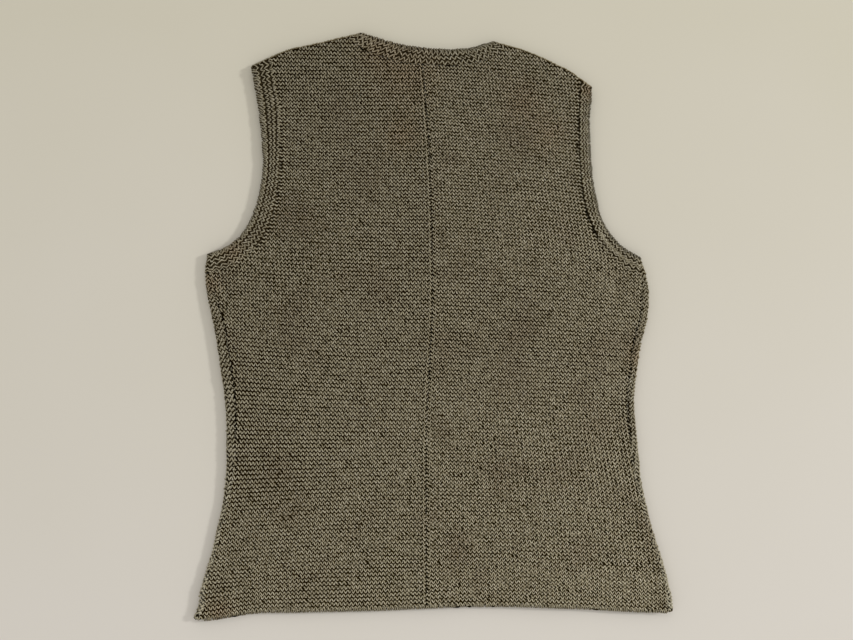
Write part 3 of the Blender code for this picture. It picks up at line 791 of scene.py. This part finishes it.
LONG_EDGE = 0.006  # edges of the plain cloth longer than this are cut up
FIBRE_BUMP = 0.0003  # depth of the fibres' bumps
CLOTH_BUMP = 0.0006  # and of the painted waves'


def follow_back(shape):
    """Makes the plain cloth of the back finer, so that its folds and its rise to the sides are round."""
    long_edges = [edge for edge in shape.edges if edge.calc_length() > LONG_EDGE]
    bmesh.ops.subdivide_edges(shape, edges=long_edges, cuts=3, use_grid_fill=True)
    shape.verts.ensure_lookup_table()
    at = np.array([vert.co for vert in shape.verts])
    x, y = at[:, 0] + CENTRE[0], at[:, 1] + CENTRE[1]
    middle = back_height(x, y)
    above, below = middle + WALL / 2 - at[:, 2], middle - WALL / 2 - at[:, 2]
    lift = np.where(np.abs(above) < np.abs(below), above, below)
    lift = np.where(shoulder_y(x) - y > BEND + WALL / 2, lift, 0.0)
    for vert, rise in zip(shape.verts, lift):
        vert.co.z += rise


def plain_cloth(name, node, material, follow=None):
    """The plain cloth under the yarn: the solid's form, a little thinner."""
    shape = bmesh.new()
    shape.from_mesh(node.data)
    bmesh.ops.remove_doubles(shape, verts=shape.verts[:], dist=1e-6)
    if follow:
        follow(shape)
    bmesh.ops.recalc_face_normals(shape, faces=shape.faces[:])
    shape.normal_update()
    moved = [vert.co - vert.normal * CLOTH_INSET for vert in shape.verts]
    for vert, place in zip(shape.verts, moved):
        vert.co = place
    mesh = bpy.data.meshes.new(name)
    shape.to_mesh(mesh)
    shape.free()
    return add_piece(name, mesh, material)


# Materials

class Nodes:
    """Short way to add nodes to a material and link them."""

    def __init__(self, name):
        self.material = bpy.data.materials.new(name)
        self.material.use_nodes = True
        self.tree = self.material.node_tree
        self.shader = self.tree.nodes["Principled BSDF"]

    def add(self, kind, inputs=(), **settings):
        node = self.tree.nodes.new(kind)
        for key, value in settings.items():
            setattr(node, key, value)
        for key, value in dict(inputs).items():
            self.put(node.inputs[key], value)
        return node

    def put(self, socket, value):
        if isinstance(value, bpy.types.NodeSocket):
            self.tree.links.new(value, socket)
        else:
            socket.default_value = value

    def math(self, operation, *values):
        return self.add("ShaderNodeMath", dict(enumerate(values)), operation=operation).outputs[0]

    def noise(self, vector, scale, detail=2.0):
        inputs = {"Vector": vector, "Scale": scale, "Detail": detail}
        return self.add("ShaderNodeTexNoise", inputs).outputs["Fac"]

    def ramp(self, value, stops):
        node = self.add("ShaderNodeValToRGB", {"Fac": value})
        for stop, (place, colour) in zip(node.color_ramp.elements, stops):
            stop.position = place
            stop.color = colour + (1.0,)
        for place, colour in stops[2:]:
            node.color_ramp.elements.new(place).color = colour + (1.0,)
        return node.outputs["Color"]

    def mix(self, kind, factor, a, b):
        inputs = {"Factor": factor, 6: a, 7: b}
        return self.add("ShaderNodeMix", inputs, data_type="RGBA", blend_type=kind).outputs[2]

    def stretched(self, vector, scale):
        inputs = {"Vector": vector, "Scale": scale}
        return self.add("ShaderNodeMapping", inputs).outputs["Vector"]


FLECK_SCALE = 560.0  # of the noise that mixes the fibre colours
PATCH_SCALE = 16.0  # of the noise that gives faint warm patches all over
WOOL_DARK = (0.206, 0.184, 0.120)
WOOL = (0.428, 0.402, 0.298)
WOOL_LIGHT = (0.665, 0.645, 0.545)
WOOL_RED = (0.200, 0.148, 0.103)

# Painted light and shade on a piece's wool: its brightness at the middle of the vest, its change to the
# right and up, and its least
BODY_PAINTED_LIGHT = (1.05, 0.35, -0.5, 0.5)
EDGE_PAINTED_LIGHT = (0.72, 0.24, -0.34, 0.4)
LOOP_PAINTED_LIGHT = (0.52, -0.3, 0.0, 0.3)
BAND_PAINTED_LIGHT = (0.87, 0.1, -0.3, 0.4)
SIDE_PAINTED_LIGHT = (0.82, 0.0, -1.1, 0.82)

WARM = (1.0, 0.84, 0.76)
SPOT_HEIGHT = 0.01  # height of the patches' middles
# Warm patches: x, y, radius, and strength as a part of WARM
WARM_SPOTS = (
    (-28.0, 268.0, 60.0, 0.6),
    (-62.0, 297.0, 40.0, 0.5),
    (-33.0, 201.0, 36.0, 0.6),
    (98.0, 236.0, 40.0, 0.5),
    (125.0, 203.0, 36.0, 0.5),
    (171.0, 249.0, 18.0, 0.9),
    (218.0, -42.0, 24.0, 0.7),
    (-215.0, 73.0, 20.0, 0.7),
    (-238.0, 38.0, 20.0, 0.7),
    (-222.0, -306.0, 24.0, 0.7),
)


def heather(nodes, spot, painted_light):
    """Mixed fibre colours: flecks from stitch to stitch and warm patches, times painted light that
    changes slowly across the vest.
    """
    fleck = nodes.noise(spot, FLECK_SCALE, 3.0)
    colour = nodes.ramp(fleck, ((0.3, WOOL_DARK), (0.5, WOOL), (0.72, WOOL_LIGHT)))
    patch = nodes.ramp(nodes.noise(spot, PATCH_SCALE), ((0.52, (0, 0, 0)), (0.72, (1, 1, 1))))
    colour = nodes.mix("MIX", nodes.math("MULTIPLY", patch, 0.3), colour, WOOL_RED + (1.0,))
    for x, y, radius, strength in WARM_SPOTS:
        middle = (x * MM, y * MM, SPOT_HEIGHT)
        away = nodes.add("ShaderNodeVectorMath", {0: spot, 1: middle}, operation="DISTANCE")
        near = nodes.math("SUBTRACT", 1.0, nodes.math("DIVIDE", away.outputs["Value"], radius * MM))
        near = nodes.math("POWER", nodes.math("MAXIMUM", near, 0.0), 1.5)
        near = nodes.math("MULTIPLY", near, strength)
        colour = nodes.mix("MULTIPLY", near, colour, WARM + (1.0,))
    # painted light: the wool is made brighter or darker across and up the vest, as the light falls
    split = nodes.add("ShaderNodeSeparateXYZ", {"Vector": spot})
    tone, across, up, least = painted_light
    shade = nodes.math("MULTIPLY_ADD", split.outputs["Y"], up, tone)
    shade = nodes.math("MAXIMUM", nodes.math("MULTIPLY_ADD", split.outputs["X"], across, shade), least)
    return nodes.mix("MULTIPLY", 1.0, colour, shade)


def finish_wool(nodes, colour, height, distance):
    """Dull wool with fine bumps of a height."""
    bump = nodes.add("ShaderNodeBump", {"Height": height, "Strength": 0.8, "Distance": distance})
    nodes.put(nodes.shader.inputs["Base Color"], colour)
    nodes.put(nodes.shader.inputs["Normal"], bump.outputs["Normal"])
    nodes.shader.inputs["Roughness"].default_value = 0.92
    nodes.shader.inputs["Specular IOR Level"].default_value = 0.0
    return nodes.material


def yarn_material(name, painted_light, softening=0.0):
    """Plied woollen yarn: its twist and fibres follow the yarn's own coordinates; its sides are painted
    dark, as the shade between strands.

    Softening makes that painted shade lighter for each metre below the middle of the vest.
    """
    nodes = Nodes(name)
    coordinates = nodes.add("ShaderNodeTexCoord")
    spot, thread = coordinates.outputs["Object"], coordinates.outputs["UV"]
    split = nodes.add("ShaderNodeSeparateXYZ", {"Vector": thread})
    turn = nodes.math("ADD", nodes.math("MULTIPLY", split.outputs["X"], 0.55), split.outputs["Y"])
    ply = nodes.math("SINE", nodes.math("MULTIPLY", turn, 2 * math.pi))
    fibre = nodes.noise(nodes.stretched(thread, (0.9, 9.0, 1.0)), 1.3, 4.0)
    shade = nodes.ramp(fibre, ((0.25, (0.6, 0.6, 0.6)), (0.7, (1.2, 1.2, 1.2))))
    colour = nodes.mix("MULTIPLY", 1.0, heather(nodes, spot, painted_light), shade)
    # painted shade: the sides of each strand are painted dark and brownish, for the shade between
    # strands
    side = nodes.math("ABSOLUTE", nodes.math("SUBTRACT", split.outputs["Y"], 0.5))
    stops = ((0.05, (1.0, 1.0, 1.0)), (0.19, (0.55, 0.47, 0.33)), (0.31, (0.045, 0.025, 0.0)))
    side_shade_ramp = nodes.ramp(side, stops)
    low = nodes.add("ShaderNodeSeparateXYZ", {"Vector": spot}).outputs["Y"]
    depth = nodes.math("MINIMUM", nodes.math("MULTIPLY_ADD", low, softening, 1.0), 1.0)
    colour = nodes.mix("MULTIPLY", depth, colour, side_shade_ramp)
    height = nodes.math("ADD", nodes.math("MULTIPLY", ply, 0.4), fibre)
    return finish_wool(nodes, colour, height, FIBRE_BUMP)


CLOTH_STITCH = 0.004  # width of a painted wave
CLOTH_SWING = 0.00086  # its swing up and down
CLOTH_RIDGE = 0.0041  # spacing of the painted rows


def cloth_material(name, dark, light):
    """The recessed side of the knit, painted very dark as the shade under the yarn: small waves in rows,
    with painted shade between them.
    """
    nodes = Nodes(name)
    spot = nodes.add("ShaderNodeTexCoord").outputs["Object"]
    split = nodes.add("ShaderNodeSeparateXYZ", {"Vector": spot})
    swing = nodes.math("COSINE", nodes.math("MULTIPLY", split.outputs["X"], 2 * math.pi / CLOTH_STITCH))
    row = nodes.math("ADD", split.outputs["Y"], nodes.math("MULTIPLY", swing, CLOTH_SWING))
    ridge = nodes.math("COSINE", nodes.math("MULTIPLY", row, 2 * math.pi / CLOTH_RIDGE))
    height = nodes.math("ADD", ridge, nodes.math("MULTIPLY", nodes.noise(spot, 1500.0), 0.6))
    shade = nodes.ramp(nodes.math("MULTIPLY_ADD", ridge, 0.5, 0.5), ((0.0, dark), (0.9, light)))
    colour = nodes.mix("MULTIPLY", 1.0, heather(nodes, spot, BODY_PAINTED_LIGHT), shade)
    return finish_wool(nodes, colour, height, CLOTH_BUMP)


def floor_material():
    """A plain pale floor, with painted light that makes it a little lighter and cooler towards the hem.
    """
    nodes = Nodes("pale_floor")
    spot = nodes.add("ShaderNodeTexCoord").outputs["Object"]
    up = nodes.add("ShaderNodeSeparateXYZ", {"Vector": spot}).outputs["Y"]
    # painted light: lighter towards the hem
    slope = nodes.math("MULTIPLY_ADD", up, -1.2, 0.3)
    tone = nodes.math("MULTIPLY_ADD", nodes.noise(spot, 3.0), 0.4, slope)
    colour = nodes.ramp(tone, ((0.1, (0.643, 0.619, 0.518)), (0.9, (0.724, 0.699, 0.650))))
    nodes.put(nodes.shader.inputs["Base Color"], colour)
    nodes.shader.inputs["Roughness"].default_value = 0.85
    nodes.shader.inputs["Specular IOR Level"].default_value = 0.2
    return nodes.material


# Stage

CAMERA_TARGET = (-0.0067, -0.0009, 0.0055)
CAMERA_DISTANCE = 0.9
CAMERA_ELEVATION = math.radians(85.7)
CAMERA_LENS = 35.5
KEY_DIRECTION = (math.radians(12), math.radians(30))  # azimuth from +X, elevation
KEY_DISTANCE = 5.0
KEY_SIZE = 0.45
KEY_POWER = 94.0
KEY_COLOUR = (1.0, 0.985, 0.95)
SKY = (0.71, 0.685, 0.655, 1.0)
FLOOR_REACH = 4.0  # from the middle to each side


def add_camera():
    camera = bpy.data.objects.new("camera", bpy.data.cameras.new("camera"))
    bpy.context.scene.collection.objects.link(camera)
    lean = math.pi / 2 - CAMERA_ELEVATION
    x, y, z = CAMERA_TARGET
    camera.location = (x, y - CAMERA_DISTANCE * math.sin(lean), z + CAMERA_DISTANCE * math.cos(lean))
    camera.rotation_euler = (lean, 0.0, 0.0)
    camera.data.lens = CAMERA_LENS
    camera.data.clip_end = 20.0
    bpy.context.scene.camera = camera


def add_light():
    data = bpy.data.lights.new("key", "AREA")
    data.energy = KEY_POWER
    data.size = KEY_SIZE
    data.color = KEY_COLOUR
    lamp = bpy.data.objects.new("key", data)
    azimuth, elevation = KEY_DIRECTION
    lamp.location = (KEY_DISTANCE * math.cos(elevation) * math.cos(azimuth),
                     KEY_DISTANCE * math.cos(elevation) * math.sin(azimuth),
                     KEY_DISTANCE * math.sin(elevation))
    lamp.rotation_euler = (0.0, math.pi / 2 - elevation, azimuth)
    bpy.context.scene.collection.objects.link(lamp)
    world = bpy.data.worlds.new("sky")
    world.use_nodes = True
    world.node_tree.nodes["Background"].inputs["Color"].default_value = SKY
    bpy.context.scene.world = world
    bpy.context.scene.view_settings.view_transform = "Standard"


def add_floor():
    mesh = bpy.data.meshes.new("floor")
    corners = [(x * FLOOR_REACH, y * FLOOR_REACH, 0.0) for x, y in ((-1, -1), (1, -1), (1, 1), (-1, 1))]
    mesh.from_pydata(corners, [], [(0, 1, 2, 3)])
    mesh.materials.append(floor_material())
    floor = bpy.data.objects.new("floor", mesh)
    bpy.context.scene.collection.objects.link(floor)


# The vest

def add_yarn(name, node, strands, material, painted_side_shade=1.0, faces=3):
    """A piece of yarn that goes with a node's cloth."""
    piece = yarn_piece(name, strands, material, faces, painted_side_shade)
    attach(piece, "root")
    return piece


def add_cloth(node, material, follow=None):
    """The plain cloth of a node, under the yarn that lies on it; the node's solid is hidden."""
    cloth = plain_cloth(node + "_cloth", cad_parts[node], material, follow)
    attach(cloth, "root")
    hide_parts(node)


def add_back(side):
    node = "back_" + side_name(side)
    heights = ridge_heights(side)
    half = len(heights) // 2
    seam = (SEAM_START, SEAM_DIP, everywhere)
    lower = knit(side, BACK, heights[:half], FINE, LOWER_SEED + side, *seam)
    upper = knit(side, BACK, heights[half:], FINE, UPPER_SEED + side, *seam)
    hem = hem_loops(side, BACK, 0.0, -seam_inset(side, HEM_LEVEL), HEM_SEED + side)
    shoulder = shoulder_edge(side, BACK, SHOULDER_SEED + side)
    pieces = [add_yarn(node + "_knit_lower", node, lower, YARN_MATERIAL),
              add_yarn(node + "_knit_upper", node, upper, YARN_MATERIAL),
              add_yarn(node + "_hem", node, hem, EDGE_YARN),
              add_yarn(node + "_shoulder", node, shoulder, YARN_MATERIAL, painted_side_shade=0.7)]
    add_cloth(node, CLOTH_SHADE_MATERIAL, follow_back)


def add_front():
    heights = ridge_heights(LEFT)
    pieces = []
    for side in (LEFT, RIGHT):
        name = side_name(side)
        rest = knit(side, FRONT, heights, COARSE, FRONT_SEED + side, 0.0, 0.0, off_strip)
        strip = knit(side, FRONT, heights, FINE, FRONT_SEED + side, 0.0, 0.0, on_strip)
        reach = seam_inset(side, HEM_LEVEL) + 2.0 * MM
        hem = hem_loops(side, FRONT, FRONT_INSET, reach, FRONT_HEM_SEED + side)
        pieces += [add_yarn("front_knit_" + name, "front", rest, YARN_MATERIAL, faces=2),
                   add_yarn("front_knit_side_" + name, "front", strip, SIDE_YARN, painted_side_shade=0.75),
                   add_yarn("front_hem_" + name, "front", hem, EDGE_YARN)]
    add_cloth("front", CLOTH_SHADE_MATERIAL)


def add_band(node, layer, rails, stitches, pattern, ridges, flat, area, rests_on, seed):
    narrowing, *rows = pattern
    for number, (make, sizes) in enumerate(rows):
        strands = make(seed + number, layer, rails, stitches, ridges, narrowing, **sizes)
        add_yarn(node + "_knit_%d" % number, node, strands, *LOOK[make])
    add_cloth(node, BAND_CLOTH_SHADE_MATERIAL)


# Strands of the bands, after how much they draw towards the free edge away from the shoulder.
# Reach, middle and swing are parts of the band's width, and end is a part of its length.
WIDE = (
    0.18,
    (band_loops, {"reach": 0.17, "slant": -0.6}),
    (band_chain, {"middle": 0.25, "swing": 0.07, "turn": -1}),
    (band_chain, {"middle": 0.50, "swing": 0.08, "turn": 1}),
    (band_chain, {"middle": 0.73, "swing": 0.09, "turn": -1}),
    (band_chain, {"middle": 0.98, "swing": 0.08, "turn": 1}),
    (band_chain, {"middle": 1.15, "swing": 0.07, "turn": -1, "end": 0.15}),
)
NARROW = (
    0.0,
    (band_loops, {"reach": 0.17, "slant": -0.5}),
    (band_chain, {"middle": 0.25, "swing": 0.08, "turn": -1}),
    (band_chain, {"middle": 0.49, "swing": 0.09, "turn": 1}),
    (band_chain, {"middle": 0.77, "swing": 0.10, "turn": -1}),
    (band_chain, {"middle": 0.62, "swing": 0.07, "turn": 1, "end": 0.22}),
    (band_chain, {"middle": 1.02, "swing": 0.09, "turn": 1, "end": 0.2}),
)
NECK = (
    0.0,
    (band_loops, {"reach": 0.20, "slant": 0.5}),
    (band_chain, {"middle": 0.30, "swing": 0.10, "turn": -1}),
    (band_chain, {"middle": 0.56, "swing": 0.12, "turn": 1}),
    (band_chain, {"middle": 0.83, "swing": 0.12, "turn": -1}),
)

# Node, layer, free edge and seam, stitches, pattern, ridges, flat size, flat area, what it lies on
BANDS = (
    ("armhole_band_back_left", BACK, armhole_table(LEFT, False), 66, WIDE, WIDE_RIDGES,
     (0.021, 0.28), 0.0058, "front"),
    ("armhole_band_back_right", BACK, armhole_table(RIGHT, False), 58, NARROW, NARROW_RIDGES,
     (0.0145, 0.25), 0.0033, "front"),
    ("armhole_band_front_left", FRONT, armhole_table(LEFT, True), 70, WIDE, (),
     (0.021, 0.3), 0.0053, "floor"),
    ("armhole_band_front_right", FRONT, armhole_table(RIGHT, True), 60, NARROW, (),
     (0.0145, 0.25), 0.003, "floor"),
    ("neck_band_back", BACK, np.array(NECK_BACK) * MM, 42, NECK, NECK_RIDGES,
     (0.019, 0.18), 0.0032, "front"),
    ("neck_band_front", FRONT, front_neck(np.linspace(0.0, 1.0, 31)), 70, NECK, (),
     (0.0165, 0.28), 0.0044, "floor"),
)

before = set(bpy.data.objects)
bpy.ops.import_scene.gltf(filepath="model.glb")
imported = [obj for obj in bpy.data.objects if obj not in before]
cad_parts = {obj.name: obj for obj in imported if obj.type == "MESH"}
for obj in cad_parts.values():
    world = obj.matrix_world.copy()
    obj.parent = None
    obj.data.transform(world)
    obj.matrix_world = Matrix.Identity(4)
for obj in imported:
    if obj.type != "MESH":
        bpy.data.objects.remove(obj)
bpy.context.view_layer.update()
YARN_MATERIAL = yarn_material("wool_yarn", BODY_PAINTED_LIGHT)
EDGE_YARN = yarn_material("wool_yarn_edge", EDGE_PAINTED_LIGHT)
LOOP_YARN = yarn_material("wool_yarn_loops", LOOP_PAINTED_LIGHT)
BAND_YARN = yarn_material("wool_yarn_bands", BAND_PAINTED_LIGHT)
# the side strips have painted light, lighter towards the hem, and painted side shade that is lighter
# below the middle
SIDE_YARN = yarn_material("wool_yarn_side", SIDE_PAINTED_LIGHT, softening=1.8)
# the plain cloth's colours are painted shade, far darker than the wool; the bands' cloth is a little
# lighter
CLOTH_SHADE_MATERIAL = cloth_material("wool_cloth_painted_shade", (0.018, 0.012, 0.002), (0.046, 0.034, 0.012))
BAND_CLOTH_SHADE_MATERIAL = cloth_material("wool_band_cloth_painted_shade", (0.045, 0.036, 0.02), (0.15, 0.125, 0.085))
# Material of a band's strands, and the painted shade of their sides
LOOK = {band_loops: (LOOP_YARN, 0.95), band_chain: (BAND_YARN, 1.0)}
add_back(LEFT)
add_back(RIGHT)
add_front()
for number, band in enumerate(BANDS):
    add_band(*band, seed=BAND_SEED + 10 * number)
add_floor()
add_light()
add_camera()
